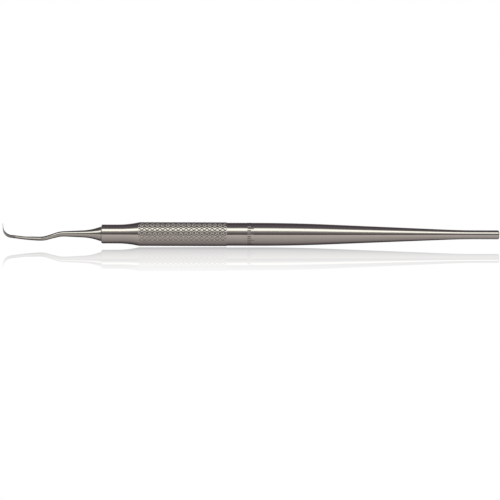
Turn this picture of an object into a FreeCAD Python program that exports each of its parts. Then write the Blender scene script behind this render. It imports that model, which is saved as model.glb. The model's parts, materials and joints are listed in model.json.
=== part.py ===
"""Single-ended hooked steel hand tool: a turned, knurled handle and a bent, hooked working end.

Both pieces are drawn about a common datum: the local origin is where the tool's axis meets the
handle's nose face, +X runs towards the tail and +Z is the side that the hook curls to. In the
finished frame the origin is under the middle of the tool, at the level of the grip's underside.
"""
import FreeCAD
import Part
import math
import os
import Sketcher

# A sketch's own numbers for the points of its geometry, its axes and its origin
START = 1
END = 2
CENTRE = 3
X_AXIS = -1
Y_AXIS = -2
ORIGIN_POINT = (X_AXIS, START)

# Sides of the origin that a point of a sketch can lie on
AHEAD = 1
BEHIND = -1

# Two lengths in mm that differ by less than this are the same
SAME = 1e-6

# name, value in mm, what it is
DRIVING_DIMENSIONS = [
    ("hook_reach", 33.14, "nose face to the outermost side of the hook"),
    ("handle_length", 133.2, "nose face to tail end"),
    ("nose_diameter", 6.36, "straight nose"),
    ("nose_length", 5.4, "straight nose"),
    ("flare_radius", 32.4, "hollow flare between the nose and the grip"),
    ("grip_diameter", 8.0, "over the crests of the knurl"),
    ("grip_start", 12.3, "nose face to the front of the knurl"),
    ("grip_end", 42.2, "nose face to the back of the knurl"),
    ("knurl_run_out", 0.6, "length of the ramp at each end of the knurl"),
    ("barrel_diameter", 7.74, "plain barrel behind the grip"),
    ("barrel_end", 51.5, "nose face to the end of the plain barrel"),
    ("shoulder_radius", 580.0, "soft shoulder where the barrel runs into the taper"),
    ("tail_blend_radius", 247.0, "soft hollow where the taper runs into the tail"),
    ("tail_start", 125.9, "nose face to the start of the straight tail"),
    ("tail_diameter", 3.0, "straight tail"),
    ("tail_chamfer", 0.3, "tail end"),
    ("nose_chamfer", 0.25, "nose face"),
    ("socket_diameter", 3.04, "blind socket in the nose"),
    ("socket_depth", 14.0, "full-diameter depth of the socket"),
    ("tang_diameter", 3.0, "tang of the working end, inside the socket"),
    ("tang_length", 13.0, "seat face to tang end"),
    ("tang_chamfer", 0.3, "lead-in on the tang"),
    ("land_diameter", 4.75, "land that seats on the nose face"),
    ("land_length", 0.5, "land"),
    ("cone_start", 6.25, "nose face to where the hollow cone runs into the straight taper"),
    ("cone_radius", 18.8, "hollow cone ahead of the land"),
    ("shank_start", 12.0, "nose face to where the turned shank ends and the bent shank starts"),
    ("shank_diameter", 1.86, "bent shank at its root"),
    ("neck_diameter", 1.04, "bent shank where the blade starts"),
    ("first_bend_x", 13.7, "nose face to the bend that drops the shank"),
    ("second_bend_x", 19.5, "nose face to the bend that levels it"),
    ("second_bend_drop", 1.74, "below the axis"),
    ("third_bend_x", 25.4, "nose face to the slight upward bend"),
    ("third_bend_drop", 1.5, "below the axis"),
    ("blade_start_x", 28.8, "nose face to the start of the blade"),
    ("blade_start_drop", 1.07, "below the axis"),
    ("hook_corner_x", 32.78, "nose face to the corner that the hook bends round"),
    ("hook_corner_drop", 0.54, "below the axis"),
    ("tip_x", 33.06, "nose face to the tip's centre"),
    ("tip_rise", 3.53, "above the axis"),
    ("offset_bend_radius", 9.0, "the two bends that set the shank off the axis"),
    ("slight_bend_radius", 22.0, "the slight upward bend"),
    ("hook_bend_radius", 3.0, "the hook"),
    ("blade_depth", 1.02, "inner face to back edge at the blade's root"),
    ("blade_width", 0.86, "inner face at the blade's root"),
    ("tip_depth", 0.12, "inner face to back edge at the tip"),
    ("tip_width", 0.1, "inner face at the tip"),
]


def make_sheet(doc):
    """Put the driving dimensions in a spreadsheet, one aliased cell each."""
    sheet = doc.addObject("Spreadsheet::Sheet", "Dimensions")
    for row, (name, value, meaning) in enumerate(DRIVING_DIMENSIONS, start=1):
        cell = "B%d" % row
        sheet.set("A%d" % row, name)
        sheet.set(cell, str(value))
        sheet.set("C%d" % row, meaning)
        sheet.setAlias(cell, name)
    doc.recompute()
    return sheet


def make_body(doc, label):
    """A body on the shared datum, set into the finished frame by its placement."""
    body = doc.addObject("PartDesign::Body", label)
    body.Label = label
    body.setExpression("Placement.Base.x", "(Dimensions.hook_reach - Dimensions.handle_length) / 2")
    body.setExpression("Placement.Base.z", "Dimensions.grip_diameter / 2")
    return body


def origin_feature(body, role):
    """The body's own origin plane or axis of this role."""
    for feature in body.Origin.OriginFeatures:
        if feature.Role == role:
            return feature
    raise RuntimeError("no origin feature " + role)


def origin_sketch(body, name, role):
    """A sketch on one of the body's own origin planes."""
    sketch = body.newObject("Sketcher::SketchObject", name)
    sketch.AttachmentSupport = (origin_feature(body, role), "")
    sketch.MapMode = "FlatFace"
    return sketch


def path_end_sketch(body, name, path, edge_name, parameter):
    """A sketch square to one end of an edge of a path."""
    sketch = body.newObject("Sketcher::SketchObject", name)
    sketch.AttachmentSupport = (path, edge_name)
    sketch.MapMode = "NormalToEdge"
    sketch.MapPathParameter = parameter
    return sketch


def line(x0, y0, x1, y1):
    """A straight edge for a sketch."""
    return Part.LineSegment(FreeCAD.Vector(x0, y0, 0), FreeCAD.Vector(x1, y1, 0))


def arc(x, y, radius, from_degrees, to_degrees):
    """A round edge for a sketch, anticlockwise about its centre."""
    circle = Part.Circle(FreeCAD.Vector(x, y, 0), FreeCAD.Vector(0, 0, 1), radius)
    return Part.ArcOfCircle(circle, math.radians(from_degrees), math.radians(to_degrees))


def constrain(sketch, kind, *where):
    """Add a constraint and return its number."""
    return sketch.addConstraint(Sketcher.Constraint(kind, *where))


def drive(sketch, kind, name, expression, *where):
    """Add a dimension that follows the spreadsheet."""
    index = constrain(sketch, kind, *where)
    sketch.renameConstraint(index, name)
    sketch.setExpression("Constraints." + name, expression)


def drive_point(sketch, name, geometry, end, x_expression, y_expression, sides=(AHEAD, AHEAD)):
    """Place a point at driven distances from the origin, each towards its own side."""
    point = (geometry, end)
    place = sketch.getPoint(geometry, end)
    across = ("DistanceX", "_x", x_expression, sides[0], abs(place.x))
    up = ("DistanceY", "_y", y_expression, sides[1], abs(place.y))
    for kind, suffix, expression, side, distance in (across, up):
        if expression:
            first, second = (ORIGIN_POINT, point) if side == AHEAD else (point, ORIGIN_POINT)
            drive(sketch, kind, name + suffix, expression, *first, *second, distance)


def close_outline(sketch, sides):
    """Join straight edges end to end, and the last to the first."""
    for this, following in zip(sides, sides[1:] + sides[:1]):
        constrain(sketch, "Coincident", this, END, following, START)


def add_outline(sketch, pieces):
    """Add a closed outline. Each piece is its geometry, whether it is drawn the way round that the
    outline runs, and whether it runs smoothly into the next piece."""
    added = []
    for geometry, forward, smooth in pieces:
        index = sketch.addGeometry(geometry, False)
        added.append((index, forward, smooth))
        if isinstance(geometry, Part.LineSegment):
            run = geometry.EndPoint - geometry.StartPoint
            if run.x == 0:
                constrain(sketch, "Vertical", index)
            elif run.y == 0:
                constrain(sketch, "Horizontal", index)
    for (index, forward, smooth), (following, following_forward, _) in zip(added, added[1:] + added[:1]):
        leaving = END if forward else START
        arriving = START if following_forward else END
        constrain(sketch, "Tangent" if smooth else "Coincident", index, leaving, following, arriving)


def turn(body, name, sketch):
    """Revolve an outline about the tool's axis."""
    turning = body.newObject("PartDesign::Revolution", name)
    turning.Profile = sketch
    turning.ReferenceAxis = (origin_feature(body, "X_Axis"), [""])
    turning.Angle = 360.0
    body.Document.recompute()
    return turning


def rim_names(shape, x, diameter):
    """The round edges of a turned shape that lie at x with this diameter."""
    names = []
    for number, edge in enumerate(shape.Edges, start=1):
        curve = edge.Curve
        if not isinstance(curve, Part.Circle):
            continue
        if abs(curve.Center.x - x) < SAME and abs(curve.Radius * 2 - diameter) < SAME:
            names.append("Edge%d" % number)
    if not names:
        raise RuntimeError("no rim at %g mm with diameter %g mm" % (x, diameter))
    return names


def chamfer_rims(body, name, base, rims, size_name):
    """Chamfer the rims of a turned feature, each given by its place along the axis and diameter."""
    chamfer = body.newObject("PartDesign::Chamfer", name)
    names = []
    for x, diameter in rims:
        names.extend(rim_names(base.Shape, x, diameter))
    chamfer.Base = (base, names)
    chamfer.setExpression("Size", "Dimensions." + size_name)
    body.Document.recompute()
    return chamfer


def handle_outline(body, size):
    """Half outline of the handle, from the nose face back to the tail and along the axis."""
    sketch = origin_sketch(body, "handle_outline", "XZ_Plane")
    nose = size("nose_diameter") / 2
    grip = size("grip_diameter") / 2
    barrel = size("barrel_diameter") / 2
    tail = size("tail_diameter") / 2
    nose_end = size("nose_length")
    grip_start = size("grip_start")
    grip_end = size("grip_end")
    run_out = size("knurl_run_out")
    barrel_end = size("barrel_end")
    tail_start = size("tail_start")
    tail_end = size("handle_length")
    flare_radius = size("flare_radius")
    shoulder_radius = size("shoulder_radius")
    hollow_radius = size("tail_blend_radius")
    flare_turn = math.asin((grip_start - nose_end) / flare_radius)
    flare_end = 270 + math.degrees(flare_turn)
    flare_top = nose + flare_radius * (1 - math.cos(flare_turn))
    # The taper's slope is that of the straight line that touches both arcs
    taper_run = tail_start - barrel_end
    centres_rise = shoulder_radius + hollow_radius - (barrel - tail)
    centres_apart = math.hypot(taper_run, centres_rise)
    taper = math.atan2(taper_run, centres_rise) - math.acos((shoulder_radius + hollow_radius) / centres_apart)
    taper_start = barrel_end + shoulder_radius * math.sin(taper)
    taper_top = barrel - shoulder_radius * (1 - math.cos(taper))
    taper_end = tail_start - hollow_radius * math.sin(taper)
    taper_foot = tail + hollow_radius * (1 - math.cos(taper))
    taper_degrees = math.degrees(taper)
    add_outline(sketch, [
        (line(0, 0, 0, nose), True, False),
        (line(0, nose, nose_end, nose), True, True),
        (arc(nose_end, nose + flare_radius, flare_radius, 270, flare_end), True, False),
        (line(grip_start, flare_top, grip_start + run_out, grip), True, False),
        (line(grip_start + run_out, grip, grip_end - run_out, grip), True, False),
        (line(grip_end - run_out, grip, grip_end, barrel), True, False),
        (line(grip_end, barrel, barrel_end, barrel), True, True),
        (arc(barrel_end, barrel - shoulder_radius, shoulder_radius, 90 - taper_degrees, 90), False, True),
        (line(taper_start, taper_top, taper_end, taper_foot), True, True),
        (arc(tail_start, tail + hollow_radius, hollow_radius, 270 - taper_degrees, 270), True, True),
        (line(tail_start, tail, tail_end, tail), True, False),
        (line(tail_end, tail, tail_end, 0), True, False),
        (line(tail_end, 0, 0, 0), True, False),
    ])
    constrain(sketch, "Coincident", 0, START, *ORIGIN_POINT)
    drive_point(sketch, "nose_end", 1, END, "Dimensions.nose_length", "Dimensions.nose_diameter / 2")
    drive(sketch, "Radius", "flare", "Dimensions.flare_radius", 2, flare_radius)
    knurl_start = "Dimensions.grip_start + Dimensions.knurl_run_out"
    knurl_end = "Dimensions.grip_end - Dimensions.knurl_run_out"
    drive_point(sketch, "grip_start", 3, START, "Dimensions.grip_start", None)
    drive_point(sketch, "knurl_start", 3, END, knurl_start, None)
    drive_point(sketch, "knurl_end", 4, END, knurl_end, "Dimensions.grip_diameter / 2")
    drive_point(sketch, "grip_end", 5, END, "Dimensions.grip_end", None)
    drive_point(sketch, "barrel_end", 6, END, "Dimensions.barrel_end", "Dimensions.barrel_diameter / 2")
    drive(sketch, "Radius", "shoulder", "Dimensions.shoulder_radius", 7, shoulder_radius)
    drive(sketch, "Radius", "hollow", "Dimensions.tail_blend_radius", 9, hollow_radius)
    drive_point(sketch, "tail_start", 10, START, "Dimensions.tail_start", "Dimensions.tail_diameter / 2")
    drive_point(sketch, "tail_end", 10, END, "Dimensions.handle_length", None)
    return sketch


def drill_socket(body, size):
    """The blind socket that the working end's tang seats in."""
    sketch = origin_sketch(body, "socket_centre", "YZ_Plane")
    circle = Part.Circle(FreeCAD.Vector(0, 0, 0), FreeCAD.Vector(0, 0, 1), size("socket_diameter") / 2)
    sketch.addGeometry(circle, False)
    constrain(sketch, "Coincident", 0, CENTRE, *ORIGIN_POINT)
    drive(sketch, "Diameter", "bore", "Dimensions.socket_diameter", 0, size("socket_diameter"))
    body.Document.recompute()
    socket = body.newObject("PartDesign::Hole", "socket")
    socket.Profile = sketch
    socket.DepthType = "Dimension"
    socket.DrillPoint = "Angled"
    socket.Threaded = False
    socket.Reversed = True
    socket.setExpression("Diameter", "Dimensions.socket_diameter")
    socket.setExpression("Depth", "Dimensions.socket_depth")
    body.Document.recompute()
    return socket


def make_handle(doc, size):
    """One turned bar: nose, hollow flare, knurled grip, plain barrel, long taper, straight tail.
    The knurl is a plain band at its crest diameter, with a ramp at each end where it runs out."""
    body = make_body(doc, "handle")
    turned = turn(body, "handle_turning", handle_outline(body, size))
    tail_rim = [(size("handle_length"), size("tail_diameter"))]
    tail_eased = chamfer_rims(body, "tail_chamfer", turned, tail_rim, "tail_chamfer")
    nose_rim = [(0.0, size("nose_diameter"))]
    nose_eased = chamfer_rims(body, "nose_chamfer", tail_eased, nose_rim, "nose_chamfer")
    socket = drill_socket(body, size)
    removed = nose_eased.Shape.Volume - socket.Shape.Volume
    bore_volume = math.pi * (size("socket_diameter") / 2) ** 2 * size("socket_depth")
    if removed < bore_volume:
        raise RuntimeError("the socket isn't cut to its full depth")
    return body


def cone_outline(body, size):
    """Half outline of the turned part of the working end: shank root, hollow cone, land and tang."""
    sketch = origin_sketch(body, "cone_outline", "XZ_Plane")
    shank = size("shank_diameter") / 2
    land = size("land_diameter") / 2
    tang = size("tang_diameter") / 2
    shank_start = -size("shank_start")
    cone_start = -size("cone_start")
    land_start = -size("land_length")
    tang_end = size("tang_length")
    radius = size("cone_radius")
    # A first guess at the taper's height where the cone starts; the sketch's constraints settle it
    cone_foot = (3 * shank + land) / 4
    taper = math.atan((cone_foot - shank) / (cone_start - shank_start))
    centre_x = cone_start - radius * math.sin(taper)
    centre_y = cone_foot + radius * math.cos(taper)
    start_degrees = 270 + math.degrees(taper)
    end_degrees = 270 + math.degrees(math.asin((land_start - centre_x) / radius))
    add_outline(sketch, [
        (line(shank_start, 0, shank_start, shank), True, False),
        (line(shank_start, shank, cone_start, cone_foot), True, True),
        (arc(centre_x, centre_y, radius, start_degrees, end_degrees), True, False),
        (line(land_start, land, 0, land), True, False),
        (line(0, land, 0, tang), True, False),
        (line(0, tang, tang_end, tang), True, False),
        (line(tang_end, tang, tang_end, 0), True, False),
        (line(tang_end, 0, shank_start, 0), True, False),
    ])
    ahead_of_seat = (BEHIND, AHEAD)
    constrain(sketch, "PointOnObject", 0, START, X_AXIS)
    shank_radius = "Dimensions.shank_diameter / 2"
    land_radius = "Dimensions.land_diameter / 2"
    drive_point(sketch, "shank", 1, START, "Dimensions.shank_start", shank_radius, ahead_of_seat)
    drive_point(sketch, "cone_start", 1, END, "Dimensions.cone_start", None, ahead_of_seat)
    drive(sketch, "Radius", "cone", "Dimensions.cone_radius", 2, radius)
    drive_point(sketch, "land", 3, START, "Dimensions.land_length", land_radius, ahead_of_seat)
    constrain(sketch, "PointOnObject", 4, START, Y_AXIS)
    drive_point(sketch, "tang", 5, END, "Dimensions.tang_length", "Dimensions.tang_diameter / 2")
    return sketch


def path_sketch(body, name, size, corners, bends):
    """A path ahead of the nose, of straight runs and tangent bends. A corner is the names of its
    distances along the axis and off it, and the side of the axis; a bend is its radius's name."""
    sketch = origin_sketch(body, name, "XZ_Plane")
    points = []
    for x_name, z_name, z_side in corners:
        x = -size(x_name)
        z = z_side * size(z_name) if z_name else 0.0
        points.append((x, z))
    runs = []
    for (x0, z0), (x1, z1) in zip(points, points[1:]):
        runs.append(sketch.addGeometry(line(x0, z0, x1, z1), False))
    for this, following in zip(runs, runs[1:]):
        constrain(sketch, "Coincident", this, END, following, START)
    corner_points = [(runs[0], START)]
    for run, bend_name in zip(runs, bends):
        first_new = sketch.GeometryCount
        sketch.fillet(run, END, size(bend_name), True, True)
        bend, corner = first_new, first_new + 1
        drive(sketch, "Radius", "bend_%d" % run, "Dimensions." + bend_name, bend, size(bend_name))
        corner_points.append((corner, START))
    corner_points.append((runs[-1], END))
    for number, ((x_name, z_name, z_side), (geometry, end)) in enumerate(zip(corners, corner_points)):
        x_expression = "Dimensions." + x_name
        z_expression = "Dimensions." + z_name if z_name else None
        sides = (BEHIND, z_side)
        drive_point(sketch, "corner_%d" % number, geometry, end, x_expression, z_expression, sides)
        if not z_name:
            constrain(sketch, "PointOnObject", geometry, end, X_AXIS)
    body.Document.recompute()
    return sketch


def edge_at(path, x):
    """The name of the path's edge that has an end at x, and which of its two ends that is."""
    for number, edge in enumerate(path.Shape.Edges, start=1):
        for parameter, vertex in ((0.0, edge.firstVertex(True)), (1.0, edge.lastVertex(True))):
            if abs(vertex.X - x) < SAME:
                return "Edge%d" % number, parameter
    raise RuntimeError("the path has no end at %g mm" % x)


def round_section(body, name, path, x, size, diameter_name):
    """A circle square to the path."""
    edge_name, parameter = edge_at(path, x)
    sketch = path_end_sketch(body, name, path, edge_name, parameter)
    circle = Part.Circle(FreeCAD.Vector(0, 0, 0), FreeCAD.Vector(0, 0, 1), size(diameter_name) / 2)
    sketch.addGeometry(circle, False)
    constrain(sketch, "Coincident", 0, CENTRE, *ORIGIN_POINT)
    drive(sketch, "Diameter", "across", "Dimensions." + diameter_name, 0, size(diameter_name))
    return sketch


def blade_section(body, name, path, x, size, depth_name, width_name):
    """A triangle square to the path: a flat inner face with an edge each side, and a narrow back."""
    edge_name, parameter = edge_at(path, x)
    sketch = path_end_sketch(body, name, path, edge_name, parameter)
    half_depth = size(depth_name) / 2
    half_width = size(width_name) / 2
    corners = [(-half_width, half_depth), (half_width, half_depth), (0.0, -half_depth)]
    sides = []
    for (x0, y0), (x1, y1) in zip(corners, corners[1:] + corners[:1]):
        sides.append(sketch.addGeometry(line(x0, y0, x1, y1), False))
    close_outline(sketch, sides)
    face, back = sides[0], sides[2]
    width_expression = "Dimensions." + width_name
    depth_expression = "Dimensions." + depth_name + " / 2"
    constrain(sketch, "Symmetric", face, START, face, END, Y_AXIS)
    constrain(sketch, "PointOnObject", back, START, Y_AXIS)
    drive(sketch, "DistanceX", "width", width_expression, face, START, face, END, size(width_name))
    drive_point(sketch, "face", face, END, None, depth_expression)
    drive_point(sketch, "back", back, START, None, depth_expression, (AHEAD, BEHIND))
    return sketch


def run_along(body, name, path, start_section, end_section):
    """A bar along a path that changes evenly from its first section to its last."""
    body.Document.recompute()
    bar = body.newObject("PartDesign::AdditivePipe", name)
    bar.Profile = start_section
    bar.Spine = (path, ["Edge%d" % number for number in range(1, len(path.Shape.Edges) + 1)])
    bar.Sections = [(end_section, [""])]
    bar.Transformation = "Multisection"
    bar.Mode = "Standard"
    body.Document.recompute()
    return bar


def make_working_end(doc, size):
    """Tang, land and hollow cone, turned; then the offset round shank and the hooked blade."""
    body = make_body(doc, "working_end")
    turned = turn(body, "cone_turning", cone_outline(body, size))
    tang_rim = [(size("tang_length"), size("tang_diameter"))]
    chamfer_rims(body, "tang_chamfer", turned, tang_rim, "tang_chamfer")
    shank_corners = [
        ("shank_start", None, AHEAD),
        ("first_bend_x", None, AHEAD),
        ("second_bend_x", "second_bend_drop", BEHIND),
        ("third_bend_x", "third_bend_drop", BEHIND),
        ("blade_start_x", "blade_start_drop", BEHIND),
    ]
    shank_bends = ["offset_bend_radius", "offset_bend_radius", "slight_bend_radius"]
    shank_path = path_sketch(body, "shank_path", size, shank_corners, shank_bends)
    root_x = -size("shank_start")
    neck_x = -size("blade_start_x")
    tip_x = -size("tip_x")
    shank_root = round_section(body, "shank_root", shank_path, root_x, size, "shank_diameter")
    neck = round_section(body, "neck", shank_path, neck_x, size, "neck_diameter")
    run_along(body, "shank", shank_path, shank_root, neck)
    blade_corners = [
        ("blade_start_x", "blade_start_drop", BEHIND),
        ("hook_corner_x", "hook_corner_drop", BEHIND),
        ("tip_x", "tip_rise", AHEAD),
    ]
    blade_path = path_sketch(body, "blade_path", size, blade_corners, ["hook_bend_radius"])
    blade_root = blade_section(body, "blade_root", blade_path, neck_x, size, "blade_depth", "blade_width")
    tip = blade_section(body, "tip", blade_path, tip_x, size, "tip_depth", "tip_width")
    run_along(body, "blade", blade_path, blade_root, tip)
    return body


def check_model(doc, bodies):
    """Stop if any feature failed, a sketch is free to change, or a piece isn't one valid solid."""
    for feature in doc.Objects:
        if "Invalid" in feature.State or "Error" in feature.State:
            raise RuntimeError("%s failed: %s" % (feature.Label, feature.State))
        if feature.TypeId == "Sketcher::SketchObject" and not feature.FullyConstrained:
            raise RuntimeError("%s isn't fully constrained" % feature.Label)
    for body in bodies:
        shape = body.Shape
        if shape.isNull() or not shape.isValid() or len(shape.Solids) != 1:
            raise RuntimeError("%s isn't one valid solid" % body.Label)


def main():
    doc = FreeCAD.newDocument("hooked_hand_tool")
    sheet = make_sheet(doc)
    bodies = [make_handle(doc, sheet.get), make_working_end(doc, sheet.get)]
    doc.recompute()
    check_model(doc, bodies)
    os.makedirs("parts", exist_ok=True)
    for body in bodies:
        body.Shape.exportStep("parts/%s.step" % body.Label)
        print("%s: %.1f mm3" % (body.Label, body.Shape.Volume))


main()
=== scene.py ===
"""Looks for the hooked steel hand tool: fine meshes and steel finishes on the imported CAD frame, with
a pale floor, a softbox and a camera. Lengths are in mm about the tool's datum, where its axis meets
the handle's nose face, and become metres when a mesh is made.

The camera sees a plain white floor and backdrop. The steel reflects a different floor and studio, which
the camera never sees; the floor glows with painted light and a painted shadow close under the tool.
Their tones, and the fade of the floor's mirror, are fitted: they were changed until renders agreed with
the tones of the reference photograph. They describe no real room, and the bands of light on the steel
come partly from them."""
import json
import math

import bpy
import numpy as np
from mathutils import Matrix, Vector


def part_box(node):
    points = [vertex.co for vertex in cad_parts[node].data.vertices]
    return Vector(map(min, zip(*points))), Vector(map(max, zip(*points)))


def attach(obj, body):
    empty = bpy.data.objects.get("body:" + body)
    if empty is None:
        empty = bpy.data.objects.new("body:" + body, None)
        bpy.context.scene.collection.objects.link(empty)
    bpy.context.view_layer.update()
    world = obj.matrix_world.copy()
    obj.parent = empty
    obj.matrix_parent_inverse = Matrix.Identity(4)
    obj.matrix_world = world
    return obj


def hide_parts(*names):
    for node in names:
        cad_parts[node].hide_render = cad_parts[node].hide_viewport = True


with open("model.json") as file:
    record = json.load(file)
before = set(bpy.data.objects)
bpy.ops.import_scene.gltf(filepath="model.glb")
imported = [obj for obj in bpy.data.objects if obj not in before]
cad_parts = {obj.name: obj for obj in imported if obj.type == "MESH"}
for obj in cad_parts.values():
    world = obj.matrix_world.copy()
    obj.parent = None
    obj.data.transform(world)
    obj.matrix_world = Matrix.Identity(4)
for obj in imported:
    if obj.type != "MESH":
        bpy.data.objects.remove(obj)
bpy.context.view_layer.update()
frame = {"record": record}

MM = 0.001
TURN = 2 * math.pi

# Places and sizes that the frame holds
mounts = {mount["name"]: mount for mount in frame["record"]["mounts"]}
handle_low, handle_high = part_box("handle")
DATUM = Vector((handle_low.x, 0, mounts["tail_pin"]["pos_m"][2]))
HANDLE_LENGTH = (handle_high.x - handle_low.x) / MM
GRIP_R = mounts["grip_pin"]["dims"]["r_mm"]
BARREL_R = mounts["barrel_pin"]["dims"]["r_mm"]
TAIL_R = mounts["tail_pin"]["dims"]["r_mm"]

# Handle: distances behind the nose face, and radii
NOSE_R = 3.18
NOSE_LENGTH = 5.4
NOSE_EASING = 0.42
FLARE_R = 32.4
GRIP_START = 12.3
GRIP_END = 42.2
BARREL_END = 51.5
SHOULDER_R = 580.0
TAIL_BLEND_R = 247.0
TAIL_START = 125.9
TAIL_EASING = 0.5
SOCKET_R = 1.52
SOCKET_DEPTH = 14.0
DRILL_POINT = SOCKET_R / math.tan(math.radians(59))
HANDLE_SHARP_DEGREES = 9

# Rings of mesh points along each smooth stretch of the handle
FLARE_RINGS = 16
FRONT_BARREL_RINGS = 8
REAR_BARREL_RINGS = 4
SHOULDER_RINGS = 20
TAPER_RINGS = 12
BLEND_RINGS = 12

# Knurl: crossing grooves that leave domed diamonds. More doming gives narrower grooves and flatter
# crests. Each diamond has a whole number of mesh points along and around, so that grooves and ridges
# follow mesh edges. The pattern starts LEAD_STEPS mesh points into a diamond.
KNURL_AROUND = 18
KNURL_PITCH = 1.74
KNURL_DEPTH = 0.12
KNURL_DOMING = 6
KNURL_RUN_OUT = 0.6
CELL_STEPS = 14
LEAD_STEPS = 3
COLUMNS = KNURL_AROUND * CELL_STEPS

# Ring of short etched ticks round the barrel: the lengths repeat from tick to tick
TICKS = 36
TICK_START = 49.0
TICK_LENGTHS = (2.2, 1.2, 1.2)
TICK_HALF_COLUMNS = 1.5
TICK_DEPTH = 0.03
TICK_RING_STEP = 0.2

# Working end: distances ahead of the nose face are negative
TANG_R = 1.5
TANG_LENGTH = 13.0
TANG_EASING = 0.4
LAND_R = 2.375
LAND_LENGTH = 0.5
LAND_EASING = 0.06
SEAT_EASING = 0.15
CONE_R = 18.7
CONE_CORNER = (-3.28, 1.33)
SHANK_START = -12.0
SHANK_ROOT_R = 0.93
SHANK_COLUMNS = 96
RING_STEP = 0.1
WORKING_END_SHARP_DEGREES = 30

# The line that the blade and shank follow, from the tip back to the root: place and bend radius
ROUTE = [
    ((-33.04, 3.53), 0.0),
    ((-32.76, -0.54), 3.0),
    ((-28.8, -1.07), 30.0),
    ((-25.4, -1.5), 22.0),
    ((-19.5, -1.74), 9.0),
    ((-13.7, 0.0), 9.0),
    ((SHANK_START, 0.0), 0.0),
]

# The bar's radius along that line, at distances ahead of the root
BAR_RADII = [
    (0.0, SHANK_ROOT_R), (2.4, 0.86), (4.6, 0.77), (7.4, 0.73), (8.6, 0.72),
    (11.0, 0.69), (13.2, 0.58), (14.4, 0.54), (17.0, 0.53), (17.6, 0.55),
    (19.8, 0.52), (21.0, 0.39), (22.5, 0.14), (23.2, 0.08), (24.4, 0.05),
]

# The three flats ground on each side of the bar, at distances ahead of the root: the slope that each
# one faces in degrees, and how far out it lies as a share of the radius. Past a share of 1 the flat
# is clear of the bar, which stays round. Both are fitted to the stripes of light in the photograph.
BAR_FLATS = [
    (0.0, (54, 1.60), (-14, 1.60), (-70, 1.60)),
    (2.4, (54, 1.20), (-14, 1.20), (-70, 1.20)),
    (4.6, (54, 0.95), (-12, 0.93), (-70, 0.95)),
    (7.4, (50, 0.90), (-12, 0.88), (-70, 0.90)),
    (8.6, (35, 0.88), (-38, 0.86), (-76, 0.90)),
    (11.0, (35, 0.88), (-40, 0.86), (-78, 0.90)),
    (13.2, (35, 0.88), (-42, 0.88), (-80, 0.92)),
    (14.4, (36, 0.88), (-42, 0.90), (-80, 0.95)),
    (17.0, (36, 0.88), (-42, 0.90), (-80, 0.95)),
    (17.6, (58, 0.80), (-33, 0.58), (-90, 0.97)),
    (21.0, (58, 0.80), (-33, 0.58), (-90, 0.97)),
    (22.5, (58, 0.80), (-33, 0.62), (-90, 0.97)),
    (23.2, (58, 0.80), (-33, 0.70), (-90, 0.97)),
]
EDGE_HARDNESS = 22

# Turn between neighbouring points: round the handle's corners, round the cone and land, along the route
CORNER_STEP = math.radians(12)
CONE_STEP = math.radians(2)
ROUTE_STEP = math.radians(3)

# Finishes: each pair is the darker and lighter, or lower and higher, end of a soft change
TURNED_STEEL = ((0.60, 0.575, 0.545), (0.66, 0.635, 0.60))
GROUND_STEEL = ((0.56, 0.55, 0.51), (0.64, 0.625, 0.585))
# Painted shade that darkens the knurl's grooves: the first colour and the first cover below
GROOVE_SHADE_COLOUR = (0.20, 0.18, 0.16)
ETCH_COLOUR = (0.10, 0.09, 0.09)
GROOVE_SHADE_COVER = 0.5
ETCH_COVER = 0.7
TURNED_ROUGHNESS = (0.09, 0.13)
GROUND_ROUGHNESS = (0.10, 0.15)
SCUFF_ROUGHNESS = 0.04
GRIND_ROUGHNESS = 0.05
# Extra roughness in the knurl's grooves, which painted shade also darkens
GROOVE_ROUGHNESS = 0.25
ETCH_ROUGHNESS = 0.35

# Noise: waves in a metre, or in a metre along each of X, Y and Z; finer octaves and their share; and
# the stretch of its values that shows
CLOUD_WAVES = 420.0
BLADE_CLOUD_WAVES = 700.0
LATHE_WAVES = 5200.0
SCUFF_WAVES = (500.0, 9000.0, 9000.0)
GRIND_WAVES = (700.0, 11000.0, 11000.0)
CLOUD_OCTAVES = (3.0, 0.5)
LATHE_OCTAVES = (3.0, 0.6)
SCUFF_OCTAVES = (4.0, 0.65)
GRIND_OCTAVES = (4.0, 0.6)
CLOUD_VALUES = (0.3, 0.75)
SCUFF_VALUES = (0.55, 0.75)
GRIND_VALUES = (0.5, 0.75)
GROOVE_VALUES = (0.2, 0.8)

# Bumps: strength, and height in mm
LATHE_BUMP = (0.15, 0.0025)
SCUFF_BUMP = (0.08, 0.002)
GRIND_BUMP = (0.12, 0.003)

# Camera and softbox
LENS = 200.0
SENSOR = 36.0
FRAME_WIDTH = 167.5
FRAME_CENTRE = Vector((49.78, 0.0, -5.28))
CAMERA_ELEVATION = math.radians(2)
SOFTBOX_SIZE = (2400.0, 380.0)
SOFTBOX_DISTANCE = 800.0
SOFTBOX_ELEVATION = math.radians(49)
SOFTBOX_WATTS = 2.6
SOFTBOX_COLOUR = (1.0, 1.0, 0.93)

# Floor: its half width, the gap under the grip, and the slope that leaves the tail a little lower
FLOOR_HALF_WIDTH = 3000.0
FLOOR_GAP = 0.19
TAIL_DROP = math.radians(0.13)

# The mirror in the floor: its strength at shares of its reach on both sides of the tool's axis, fitted
# to the photograph, and the stretch of the view's slant over which it comes in
MIRROR_REACH = 260.0
MIRROR_FADE = [
    (0.0, 0.50), (0.074, 0.47), (0.14, 0.385), (0.31, 0.275), (0.55, 0.175), (0.72, 0.075), (0.85, 0.04),
    (1.0, 0.0),
]
MIRROR_SLANT = (0.5, 0.93)
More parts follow.
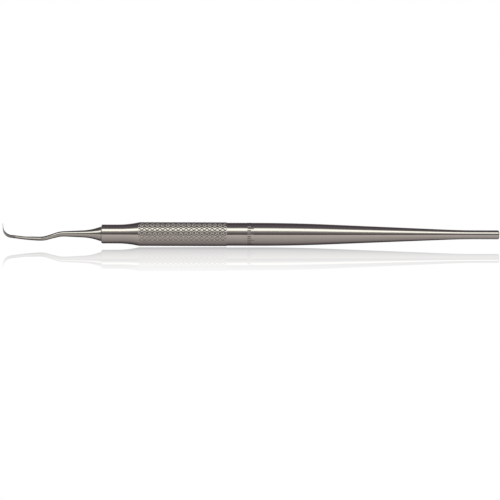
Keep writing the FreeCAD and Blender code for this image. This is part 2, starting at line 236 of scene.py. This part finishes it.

# The table that the steel reflects glows with painted light and shade: its tone at distances in front of
# the tool's axis, fitted to the photograph, is a painted shadow close under the tool and painted light
# further out. Ramps over the floor are RAMP_SPAN long, with the axis or the middle of the tool at their
# middle.
RAMP_SPAN = 200.0
TABLE_TONES = [
    (-90, (0.10, 0.09, 0.095)), (-45, (0.38, 0.36, 0.35)), (-20, (0.50, 0.465, 0.455)),
    (-11, (0.42, 0.39, 0.385)), (-7, (0.04, 0.033, 0.037)), (0, (0.04, 0.033, 0.037)),
    (1, (0.06, 0.05, 0.055)), (1.5, (0.105, 0.088, 0.096)), (2, (0.185, 0.158, 0.168)),
    (2.8, (0.33, 0.295, 0.297)), (5.3, (0.445, 0.41, 0.40)), (8.6, (0.545, 0.505, 0.485)),
    (25, (0.70, 0.65, 0.62)), (36, (0.58, 0.54, 0.515)), (50, (0.175, 0.16, 0.165)),
    (80, (0.10, 0.09, 0.095)),
]

# How much nearer the tones, and with them the painted shadow under the tool, stand under the thinner
# stretches, at distances behind the nose face, fitted to the photograph. White on that ramp stands for
# MOST_NARROWING.
SHADE_NARROWING = [
    (-33, 0.7), (-20, 1.2), (-12, 1.5), (-3, 1.4), (0, 0.8), (6, 0.7), (12, 0.0),
    (52, 0.0), (81, 0.6), (101, 1.3), (115, 2.0), (126, 2.7),
]
MOST_NARROWING = 4.0

# The studio that the steel reflects, by the angle in degrees up from the camera's side and over to the
# back, fitted to the photograph
STUDIO_BANDS = [
    (0, (0.13, 0.115, 0.12)), (9, (0.13, 0.115, 0.12)), (20, (0.25, 0.235, 0.24)),
    (33, (0.48, 0.465, 0.44)), (42, (0.60, 0.60, 0.50)), (52, (1.0, 1.0, 0.98)),
    (61, (0.50, 0.49, 0.45)), (68, (0.32, 0.31, 0.31)), (74, (0.155, 0.14, 0.145)),
    (86, (0.125, 0.11, 0.125)), (100, (0.14, 0.12, 0.135)), (116, (0.065, 0.05, 0.065)),
    (136, (0.10, 0.09, 0.10)), (155, (0.10, 0.09, 0.10)), (161, (1.0, 0.98, 0.95)),
    (174, (1.0, 0.98, 0.95)), (179, (0.2, 0.19, 0.2)),
]
HALF_TURN_DEGREES = 180
END_WALL_COLOUR = (0.11, 0.10, 0.11)
END_WALL_BLEND = (0.6, 0.9)


# ---------------------------------------------------------------- lines and profiles
def unit(vector):
    return vector / np.linalg.norm(vector)


def rounded_line(corners, step=CORNER_STEP):
    """The points of a line through corners, turned at each one on that corner's bend radius."""
    places = [np.array(place, float) for place, _ in corners]
    points = [places[0]]
    for before, corner, after, (_, radius) in zip(places, places[1:], places[2:], corners[1:]):
        arriving = unit(corner - before)
        leaving = unit(after - corner)
        turn = math.atan2(arriving[0] * leaving[1] - arriving[1] * leaving[0], arriving @ leaving)
        if radius == 0:
            points.append(corner)
            continue
        start = corner - arriving * radius * math.tan(abs(turn) / 2)
        spoke = np.array((arriving[1], -arriving[0])) * math.copysign(radius, turn)
        steps = max(1, math.ceil(abs(turn) / step))
        for number in range(steps + 1):
            cosine = math.cos(turn * number / steps)
            sine = math.sin(turn * number / steps)
            turned = (spoke[0] * cosine - spoke[1] * sine, spoke[0] * sine + spoke[1] * cosine)
            points.append(start - spoke + turned)
    points.append(places[-1])
    return np.array(points)


def spread(start, end, count, radius_at):
    """Profile points at even steps, with the first end left out."""
    places = np.linspace(start, end, count + 1)[1:]
    return np.column_stack([places, [radius_at(place) for place in places]])


def straight(start, start_radius, slope=0.0):
    """A profile that falls evenly from its start."""
    return lambda place: start_radius - (place - start) * slope


def hollow(foot, foot_radius, radius):
    """A profile that curves up from its foot on both sides."""
    return lambda place: foot_radius + radius - math.sqrt(radius ** 2 - (place - foot) ** 2)


def crown(top, top_radius, radius):
    """A profile that curves down from its top on both sides."""
    return lambda place: top_radius - radius + math.sqrt(radius ** 2 - (place - top) ** 2)


# ---------------------------------------------------------------- meshes
def skin(name, rings, first_point, last_point, sharp_degrees, creases=None):
    """A closed smooth-shaded mesh over rings of points that run towards +X, with a fan to one point at
    each end. creases gives, for some of the rows between rings, which diagonal splits each quad."""
    count, columns = rings.shape[:2]
    numbers = np.arange(count * columns).reshape(count, columns)
    beside = np.roll(numbers, -1, axis=1)
    corners = np.stack([numbers[:-1], beside[:-1], beside[1:], numbers[1:]], axis=-1)
    plain_rows = np.ones(count - 1, bool)
    faces = []
    if creases is not None:
        first_row, rising = creases
        plain_rows[first_row:first_row + len(rising)] = False
        split = corners[first_row:first_row + len(rising)]
        faces += split[rising][:, [0, 1, 2]].tolist() + split[rising][:, [0, 2, 3]].tolist()
        faces += split[~rising][:, [0, 1, 3]].tolist() + split[~rising][:, [1, 2, 3]].tolist()
    faces += corners[plain_rows].reshape(-1, 4).tolist()
    first, last = count * columns, count * columns + 1
    faces += [(first, after, number) for number, after in zip(numbers[0], beside[0])]
    faces += [(last, number, after) for number, after in zip(numbers[-1], beside[-1])]
    points = np.vstack([rings.reshape(-1, 3), first_point, last_point]) * MM + np.array(DATUM)
    mesh = bpy.data.meshes.new(name)
    mesh.from_pydata(points.tolist(), [], faces)
    mesh.update()
    mesh.shade_smooth()
    mesh.set_sharp_from_angle(angle=math.radians(sharp_degrees))
    piece = bpy.data.objects.new(name, mesh)
    bpy.context.scene.collection.objects.link(piece)
    return piece


def mark_points(piece, name, values):
    """Keep a number at each ring point for the material; the two end points get none."""
    marks = piece.data.attributes.new(name, "FLOAT", "POINT")
    padded = np.zeros(len(piece.data.vertices), np.float32)
    padded[:values.size] = values.ravel()
    marks.data.foreach_set("value", padded)


def turned_rings(places, radii, angles):
    """Rings about the axis: radii holds a row for each place and a column for each angle."""
    across = np.broadcast_to(places[:, None], radii.shape)
    return np.stack([across, radii * np.cos(angles), radii * np.sin(angles)], axis=-1)


def knurl_drop(places, angles):
    """How far the knurl lies below its crests, as a share of its depth."""
    along = (places - GRIP_START) / KNURL_PITCH + LEAD_STEPS / CELL_STEPS
    around = angles * KNURL_AROUND / TURN
    from_rising = np.abs(around + along - np.round(around + along))
    from_falling = np.abs(around - along - np.round(around - along))
    cut = (1 - 2 * np.minimum(from_rising, from_falling)) ** KNURL_DOMING
    run_out = np.minimum(places - GRIP_START, GRIP_END - places) / KNURL_RUN_OUT
    return cut * np.clip(run_out, 0, 1)


def grip_radius(place):
    """The knurl's crest circle, with its ramp at each end."""
    flare_top = hollow(NOSE_LENGTH, NOSE_R, FLARE_R)(GRIP_START)
    ramp_places = [GRIP_START, GRIP_START + KNURL_RUN_OUT, GRIP_END - KNURL_RUN_OUT, GRIP_END]
    return np.interp(place, ramp_places, [flare_top, GRIP_R, GRIP_R, BARREL_R])


def tick_mask(places, angles):
    """1 on the etched ticks of the barrel, 0 elsewhere."""
    spacing = TURN / TICKS
    tick = np.round(angles / spacing)
    on_line = np.abs(angles - tick * spacing) < TICK_HALF_COLUMNS * TURN / COLUMNS
    lengths = np.array(TICK_LENGTHS)[tick.astype(int) % len(TICK_LENGTHS)]
    behind_start = places - TICK_START
    return (on_line & (behind_start >= 0) & (behind_start <= lengths)).astype(float)


def handle_profile():
    """Half outline of the handle from the socket's floor, out over the nose and back to the tail, and
    which of the mesh's rings the knurl covers. The outline's two end points have no ring."""
    nose = rounded_line([
        ((SOCKET_DEPTH + DRILL_POINT, 0), 0),
        ((SOCKET_DEPTH, SOCKET_R), 0),
        ((0, SOCKET_R), 0),
        ((0, NOSE_R), NOSE_EASING),
        ((NOSE_LENGTH, NOSE_R), 0),
    ])
    flare = spread(NOSE_LENGTH, GRIP_START, FLARE_RINGS, hollow(NOSE_LENGTH, NOSE_R, FLARE_R))
    step = KNURL_PITCH / CELL_STEPS
    knurl_places = np.append(np.arange(GRIP_START + step, GRIP_END, step), GRIP_END)
    knurl = np.column_stack([knurl_places, grip_radius(knurl_places)])
    barrel = straight(GRIP_END, BARREL_R)
    ticks_end = TICK_START + max(TICK_LENGTHS) + TICK_RING_STEP
    tick_rings = round((ticks_end - TICK_START) / TICK_RING_STEP) + 1
    # The taper's slope is that of the straight line that touches both arcs
    bends = SHOULDER_R + TAIL_BLEND_R
    run_length = TAIL_START - BARREL_END
    centres_rise = bends - (BARREL_R - TAIL_R)
    taper = math.atan2(run_length, centres_rise) - math.acos(bends / math.hypot(run_length, centres_rise))
    shoulder = crown(BARREL_END, BARREL_R, SHOULDER_R)
    blend = hollow(TAIL_START, TAIL_R, TAIL_BLEND_R)
    taper_start = BARREL_END + SHOULDER_R * math.sin(taper)
    taper_end = TAIL_START - TAIL_BLEND_R * math.sin(taper)
    taper_line = straight(taper_start, shoulder(taper_start), math.tan(taper))
    tail = rounded_line([
        ((TAIL_START, TAIL_R), 0),
        ((HANDLE_LENGTH, TAIL_R), TAIL_EASING),
        ((HANDLE_LENGTH, 0), 0),
    ])
    parts = [
        nose, flare, knurl,
        spread(GRIP_END, TICK_START - TICK_RING_STEP, FRONT_BARREL_RINGS, barrel),
        spread(TICK_START - TICK_RING_STEP, ticks_end, tick_rings, barrel),
        spread(ticks_end, BARREL_END, REAR_BARREL_RINGS, barrel),
        spread(BARREL_END, taper_start, SHOULDER_RINGS, shoulder),
        spread(taper_start, taper_end, TAPER_RINGS, taper_line),
        spread(taper_end, TAIL_START, BLEND_RINGS, blend),
        tail[1:],
    ]
    flare_top_ring = len(nose) + len(flare) - 2
    return np.vstack(parts), slice(flare_top_ring, flare_top_ring + len(knurl) + 1)


def knurl_creases(places, angles, drop):
    """For each quad of the knurl, whether its groove or ridge follows the rising diagonal."""
    beside = np.roll(drop, -1, axis=1)
    middles = (places[:-1] + places[1:]) / 2
    centre = knurl_drop(middles[:, None], angles + TURN / COLUMNS / 2)
    rising_miss = np.abs(centre - (drop[:-1] + beside[1:]) / 2)
    falling_miss = np.abs(centre - (beside[:-1] + drop[1:]) / 2)
    return rising_miss <= falling_miss


def make_handle():
    """Turned bar with a real cut knurl on its grip and a ring of ticks on its barrel."""
    profile, knurl = handle_profile()
    angles = np.arange(COLUMNS) * TURN / COLUMNS
    places, outline = profile[1:-1, 0], profile[1:-1, 1]
    drop = np.zeros((len(places), COLUMNS))
    drop[knurl] = knurl_drop(places[knurl, None], angles)
    etched = tick_mask(places[:, None], angles)
    radii = outline[:, None] - drop * KNURL_DEPTH - etched * TICK_DEPTH
    rings = turned_rings(places, radii, angles)
    creases = (knurl.start, knurl_creases(places[knurl], angles, drop[knurl]))
    ends = (*profile[0], 0), (*profile[-1], 0)
    piece = skin("steel_handle", rings, *ends, HANDLE_SHARP_DEGREES, creases)
    mark_points(piece, "groove", drop)
    mark_points(piece, "etched", etched)
    return piece


def bar_radii(ahead, angles):
    """Centre to surface of the ground bar, a row for each distance ahead of the root."""
    radius = np.interp(ahead, *zip(*BAR_RADII))[:, None]
    crowding = radius ** -EDGE_HARDNESS
    stations, *flats = zip(*BAR_FLATS)
    for flat in flats:
        slopes, shares = zip(*flat)
        slope = np.radians(np.interp(ahead, stations, slopes))[:, None]
        share = np.interp(ahead, stations, shares)[:, None]
        for facing in (slope, math.pi - slope):
            reach = np.maximum(0, np.cos(angles - facing)) / (share * radius)
            crowding = crowding + reach ** EDGE_HARDNESS
    return crowding ** (-1 / EDGE_HARDNESS)


def bar_rings(angles):
    """Rings of the blade and shank, square to their route, from just behind the tip to the root, and
    the place of the tip."""
    route = rounded_line(ROUTE, ROUTE_STEP)
    travelled = np.append(0, np.cumsum(np.linalg.norm(np.diff(route, axis=0), axis=1)))
    length = travelled[-1]
    stops = np.linspace(0, length, round(length / RING_STEP) + 1)[1:-1]
    centres = np.column_stack([np.interp(stops, travelled, route[:, axis]) for axis in (0, 1)])
    along = np.gradient(centres, axis=0)
    along /= np.linalg.norm(along, axis=1)[:, None]
    radii = bar_radii(length - stops, angles)
    rise = radii * np.sin(angles)
    across_x = centres[:, 0:1] - rise * along[:, 1:2]
    across_z = centres[:, 1:2] + rise * along[:, 0:1]
    return np.stack([across_x, radii * np.cos(angles), across_z], axis=-1), route[0]


def make_working_end():
    """Hooked blade and bent shank, then the turned cone, land and tang, as one closed skin."""
    angles = np.arange(SHANK_COLUMNS) * TURN / SHANK_COLUMNS
    profile = rounded_line([
        ((SHANK_START, SHANK_ROOT_R), 0),
        (CONE_CORNER, CONE_R),
        ((-LAND_LENGTH, LAND_R), LAND_EASING),
        ((0, LAND_R), SEAT_EASING),
        ((0, TANG_R), 0),
        ((TANG_LENGTH, TANG_R), TANG_EASING),
        ((TANG_LENGTH, 0), 0),
    ], CONE_STEP)
    bar, tip = bar_rings(angles)
    radii = np.repeat(profile[:-1, 1:2], SHANK_COLUMNS, axis=1)
    turned = turned_rings(profile[:-1, 0], radii, angles)
    ends = (tip[0], 0, tip[1]), (TANG_LENGTH, 0, 0)
    return skin("steel_working_end", np.vstack([bar, turned]), *ends, WORKING_END_SHARP_DEGREES)


# ---------------------------------------------------------------- shader nodes
def add_node(tree, kind, inputs=(), **settings):
    """A node with its settings made, and each input given a value or joined to another node's output."""
    node = tree.nodes.new(kind)
    for name, value in settings.items():
        setattr(node, name, value)
    for socket, value in dict(inputs).items():
        if isinstance(value, bpy.types.NodeSocket):
            tree.links.new(value, node.inputs[socket])
        else:
            node.inputs[socket].default_value = value
    return node


def math_of(tree, operation, first, second=0.0, third=0.0):
    inputs = {0: first, 1: second, 2: third}
    return add_node(tree, "ShaderNodeMath", inputs, operation=operation).outputs[0]


def separate(tree, vector):
    """The X, Y and Z of a vector."""
    return add_node(tree, "ShaderNodeSeparateXYZ", {0: vector}).outputs


def remap(tree, value, from_range, to_range):
    """A smooth step from one range to another."""
    inputs = {
        "Value": value,
        "From Min": from_range[0],
        "From Max": from_range[1],
        "To Min": to_range[0],
        "To Max": to_range[1],
    }
    return add_node(tree, "ShaderNodeMapRange", inputs, interpolation_type="SMOOTHSTEP").outputs[0]


def ramp(tree, position, stops):
    """A colour ramp through (position, colour) stops."""
    node = add_node(tree, "ShaderNodeValToRGB", {"Fac": position})
    elements = node.color_ramp.elements
    while len(elements) < len(stops):
        elements.new(0.5)
    for element, (place, colour) in zip(elements, stops):
        element.position = place
        element.color = opaque(colour)
    return node.outputs["Color"]


def ramp_over(tree, distance, stops):
    """A colour ramp over a distance in metres, through (mm, colour) stops within half a span of 0."""
    position = math_of(tree, "MULTIPLY_ADD", distance, 1 / (RAMP_SPAN * MM), 0.5)
    return ramp(tree, position, [(0.5 + place / RAMP_SPAN, colour) for place, colour in stops])


def opaque(colour):
    return (*colour, 1.0)


def grey(level):
    return (level, level, level)


def mix_colours(tree, factor, first, second):
    """A mix of two sockets that carry colours. In its colour mode the node's sockets are 6 and 7."""
    inputs = {0: factor, 6: first, 7: second}
    return add_node(tree, "ShaderNodeMix", inputs, data_type="RGBA").outputs[2]


def mix_shaders(tree, factor, first, second):
    return add_node(tree, "ShaderNodeMixShader", {0: factor, 1: first, 2: second}).outputs[0]


def noise(tree, vector, waves, octaves):
    detail, share = octaves
    inputs = {"Vector": vector, "Scale": waves, "Detail": detail, "Roughness": share}
    return add_node(tree, "ShaderNodeTexNoise", inputs).outputs[0]


def stretched_noise(tree, place, waves, octaves):
    """Noise with its own number of waves in a metre along each axis."""
    scaled = add_node(tree, "ShaderNodeMapping", {"Vector": place, "Scale": waves}).outputs[0]
    return noise(tree, scaled, 1.0, octaves)


def bump(tree, height, look, inputs=()):
    strength, depth = look
    settings = {"Height": height, "Strength": strength, "Distance": depth * MM, **dict(inputs)}
    return add_node(tree, "ShaderNodeBump", settings).outputs[0]


def attribute(tree, name):
    return add_node(tree, "ShaderNodeAttribute", attribute_name=name).outputs["Fac"]


# ---------------------------------------------------------------- finishes
def steel_base(name):
    """A metal to finish: the material, its tree, its shader and the place in the object's own frame."""
    material = bpy.data.materials.new(name)
    material.use_nodes = True
    tree = material.node_tree
    shader = tree.nodes["Principled BSDF"]
    shader.inputs["Metallic"].default_value = 1.0
    place = add_node(tree, "ShaderNodeTexCoord").outputs["Object"]
    return material, tree, shader, place


def turned_lines(tree, place):
    """The fine rings that a lathe tool and a polishing belt leave: they change along the axis only."""
    detail, share = LATHE_OCTAVES
    along = separate(tree, place)["X"]
    inputs = {"W": along, "Scale": LATHE_WAVES, "Detail": detail, "Roughness": share}
    return add_node(tree, "ShaderNodeTexNoise", inputs, noise_dimensions="1D").outputs[0]


def handle_steel():
    """Polished turned stainless steel, with painted shade darkening the knurl's grooves, which are also
    rougher, and a matt dark etch."""
    material, tree, shader, place = steel_base("polished_turned_steel")
    cloud = noise(tree, place, CLOUD_WAVES, CLOUD_OCTAVES)
    lines = turned_lines(tree, place)
    scuffs = stretched_noise(tree, place, SCUFF_WAVES, SCUFF_OCTAVES)
    groove = attribute(tree, "groove")
    etched = attribute(tree, "etched")

    clean = mix_colours(tree, cloud, opaque(TURNED_STEEL[0]), opaque(TURNED_STEEL[1]))
    # Painted shade: the knurl's grooves darken towards their bottoms, and are rougher there
    groove_shade = remap(tree, groove, GROOVE_VALUES, (0.0, GROOVE_SHADE_COVER))
    groove_shaded = mix_colours(tree, groove_shade, clean, opaque(GROOVE_SHADE_COLOUR))
    etch = math_of(tree, "MULTIPLY", etched, ETCH_COVER)
    tree.links.new(mix_colours(tree, etch, groove_shaded, opaque(ETCH_COLOUR)), shader.inputs["Base Color"])

    polish = remap(tree, cloud, CLOUD_VALUES, TURNED_ROUGHNESS)
    scuffed = math_of(tree, "ADD", polish, remap(tree, scuffs, SCUFF_VALUES, (0.0, SCUFF_ROUGHNESS)))
    rough_grooves = math_of(tree, "MULTIPLY_ADD", groove, GROOVE_ROUGHNESS, scuffed)
    matt = math_of(tree, "MULTIPLY_ADD", etched, ETCH_ROUGHNESS, rough_grooves)
    tree.links.new(matt, shader.inputs["Roughness"])

    lathe_marks = bump(tree, lines, LATHE_BUMP)
    tree.links.new(bump(tree, scuffs, SCUFF_BUMP, {"Normal": lathe_marks}), shader.inputs["Normal"])
    return material


def blade_steel():
    """Hand-ground and polished stainless steel, with faint grinding lines along the shank."""
    material, tree, shader, place = steel_base("ground_blade_steel")
    cloud = noise(tree, place, BLADE_CLOUD_WAVES, CLOUD_OCTAVES)
    lines = stretched_noise(tree, place, GRIND_WAVES, GRIND_OCTAVES)
    coloured = mix_colours(tree, cloud, opaque(GROUND_STEEL[0]), opaque(GROUND_STEEL[1]))
    tree.links.new(coloured, shader.inputs["Base Color"])
    polish = remap(tree, cloud, CLOUD_VALUES, GROUND_ROUGHNESS)
    ground = math_of(tree, "ADD", polish, remap(tree, lines, GRIND_VALUES, (0.0, GRIND_ROUGHNESS)))
    tree.links.new(ground, shader.inputs["Roughness"])
    tree.links.new(bump(tree, lines, GRIND_BUMP), shader.inputs["Normal"])
    return material


# ---------------------------------------------------------------- floor, light and camera
def emission(tree, colour):
    return add_node(tree, "ShaderNodeEmission", {"Color": colour, "Strength": 1.0}).outputs[0]


def mirrored_white(tree, depth):
    """White, with a mirror in it that fades away from the tool and shows at a low view only."""
    away = math_of(tree, "ABSOLUTE", depth)
    share = math_of(tree, "DIVIDE", away, MIRROR_REACH * MM)
    fading = ramp(tree, share, [(place, grey(strength)) for place, strength in MIRROR_FADE])
    facing = add_node(tree, "ShaderNodeLayerWeight").outputs["Facing"]
    gloss = math_of(tree, "MULTIPLY", fading, remap(tree, facing, MIRROR_SLANT, (0.0, 1.0)))
    white = opaque(grey(1.0))
    mirror = add_node(tree, "ShaderNodeBsdfGlossy", {"Color": white, "Roughness": 0.0}).outputs[0]
    return mix_shaders(tree, gloss, emission(tree, white), mirror)


def glowing_table(tree, along, depth):
    """A glow of warm greys by the distance in front of the tool, painted light and shade for the steel to
    reflect: a painted shadow close to it, painted light a little further out, and dark again far off."""
    stops = [(DATUM.x / MM + behind, grey(nearer / MOST_NARROWING)) for behind, nearer in SHADE_NARROWING]
    narrowing = ramp_over(tree, along, stops)
    in_front = math_of(tree, "MULTIPLY", depth, -1.0)
    ahead = math_of(tree, "MULTIPLY_ADD", narrowing, MOST_NARROWING * MM, in_front)
    return emission(tree, ramp_over(tree, ahead, TABLE_TONES))


def floor_look():
    """A white floor with a fading mirror to the camera, and to the tool a glowing grey table with painted
    light and a painted shadow under the tool.
    """
    material = bpy.data.materials.new("pale_table")
    material.use_nodes = True
    tree = material.node_tree
    tree.nodes.clear()
    place = separate(tree, add_node(tree, "ShaderNodeTexCoord").outputs["Object"])
    shown = mirrored_white(tree, place["Y"])
    reflected = glowing_table(tree, place["X"], place["Y"])
    from_camera = add_node(tree, "ShaderNodeLightPath").outputs["Is Camera Ray"]
    both = mix_shaders(tree, from_camera, reflected, shown)
    add_node(tree, "ShaderNodeOutputMaterial", {"Surface": both})
    return material


def make_floor():
    """The floor just under the grip. It slopes, so that the tail lies a little lower in the view."""
    mesh = bpy.data.meshes.new("floor")
    half = FLOOR_HALF_WIDTH * MM
    corners = [(-half, -half), (half, -half), (half, half), (-half, half)]
    grip_x = DATUM.x + (GRIP_START + GRIP_END) / 2 * MM
    contact_z = DATUM.z - (GRIP_R + FLOOR_GAP) * MM
    lift = math.tan(TAIL_DROP)
    points = [(x, y, contact_z + (x - grip_x) * lift) for x, y in corners]
    mesh.from_pydata(points, [], [(0, 1, 2, 3)])
    mesh.materials.append(floor_look())
    floor = bpy.data.objects.new("floor", mesh)
    bpy.context.scene.collection.objects.link(floor)


def make_world():
    """A white backdrop to the camera and in the floor's mirror. The steel reflects long soft bands
    instead: a dark horizon, the glow round the softbox, dark overhead and a bright strip low at the
    back, with a dark wall at each end of the tool."""
    world = bpy.data.worlds.new("studio")
    world.use_nodes = True
    bpy.context.scene.world = world
    tree = world.node_tree
    tree.nodes.clear()
    direction = separate(tree, add_node(tree, "ShaderNodeTexCoord").outputs["Generated"])
    toward_camera = math_of(tree, "MULTIPLY", direction["Y"], -1.0)
    angle = math_of(tree, "ARCTAN2", direction["Z"], toward_camera)
    half_turns = math_of(tree, "DIVIDE", angle, math.pi)
    bands = [(degrees / HALF_TURN_DEGREES, colour) for degrees, colour in STUDIO_BANDS]
    around = ramp(tree, half_turns, bands)
    endways = remap(tree, math_of(tree, "ABSOLUTE", direction["X"]), END_WALL_BLEND, (0.0, 1.0))
    seen = mix_colours(tree, endways, around, opaque(END_WALL_COLOUR))
    studio = add_node(tree, "ShaderNodeBackground", {"Color": seen}).outputs[0]
    white = add_node(tree, "ShaderNodeBackground", {"Color": opaque(grey(1.0))}).outputs[0]
    light_path = add_node(tree, "ShaderNodeLightPath").outputs
    direct_or_mirrored = math_of(tree, "MAXIMUM", light_path["Is Camera Ray"], light_path["Is Singular Ray"])
    both = mix_shaders(tree, direct_or_mirrored, studio, white)
    add_node(tree, "ShaderNodeOutputWorld", {"Surface": both})


def aim(thing, elevation, distance, roll=0.0):
    """Stand a camera or light off on the near side, looking at the middle of the frame."""
    back = Vector((0, -math.cos(elevation), math.sin(elevation)))
    thing.location = DATUM + FRAME_CENTRE * MM + back * distance * MM
    thing.rotation_euler = (-back).to_track_quat("-Z", "Y").to_euler()
    thing.rotation_euler.rotate_axis("Z", roll)


def make_softbox():
    """One long area light, high on the camera's side. It shows in the steel and not in the view."""
    light = bpy.data.lights.new("softbox", "AREA")
    light.shape = "RECTANGLE"
    light.size = SOFTBOX_SIZE[0] * MM
    light.size_y = SOFTBOX_SIZE[1] * MM
    light.energy = SOFTBOX_WATTS
    light.color = SOFTBOX_COLOUR
    softbox = bpy.data.objects.new("softbox", light)
    softbox.visible_camera = False
    bpy.context.scene.collection.objects.link(softbox)
    aim(softbox, SOFTBOX_ELEVATION, SOFTBOX_DISTANCE)


def make_camera():
    """A long lens nearly level with the tool, rolled with the floor's slope."""
    camera_data = bpy.data.cameras.new("camera")
    camera_data.lens = LENS
    camera_data.sensor_width = SENSOR
    camera = bpy.data.objects.new("camera", camera_data)
    bpy.context.scene.collection.objects.link(camera)
    aim(camera, CAMERA_ELEVATION, FRAME_WIDTH * LENS / SENSOR, TAIL_DROP)
    bpy.context.scene.camera = camera


def finish_piece(piece, node, material):
    """Put the material on a piece, and let it stand for its CAD node."""
    piece.data.materials.append(material)
    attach(piece, "root")
    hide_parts(node)


make_camera()
make_softbox()
make_world()
make_floor()
finish_piece(make_handle(), "handle", handle_steel())
finish_piece(make_working_end(), "working_end", blade_steel())
bpy.context.scene.view_settings.view_transform = "Standard"
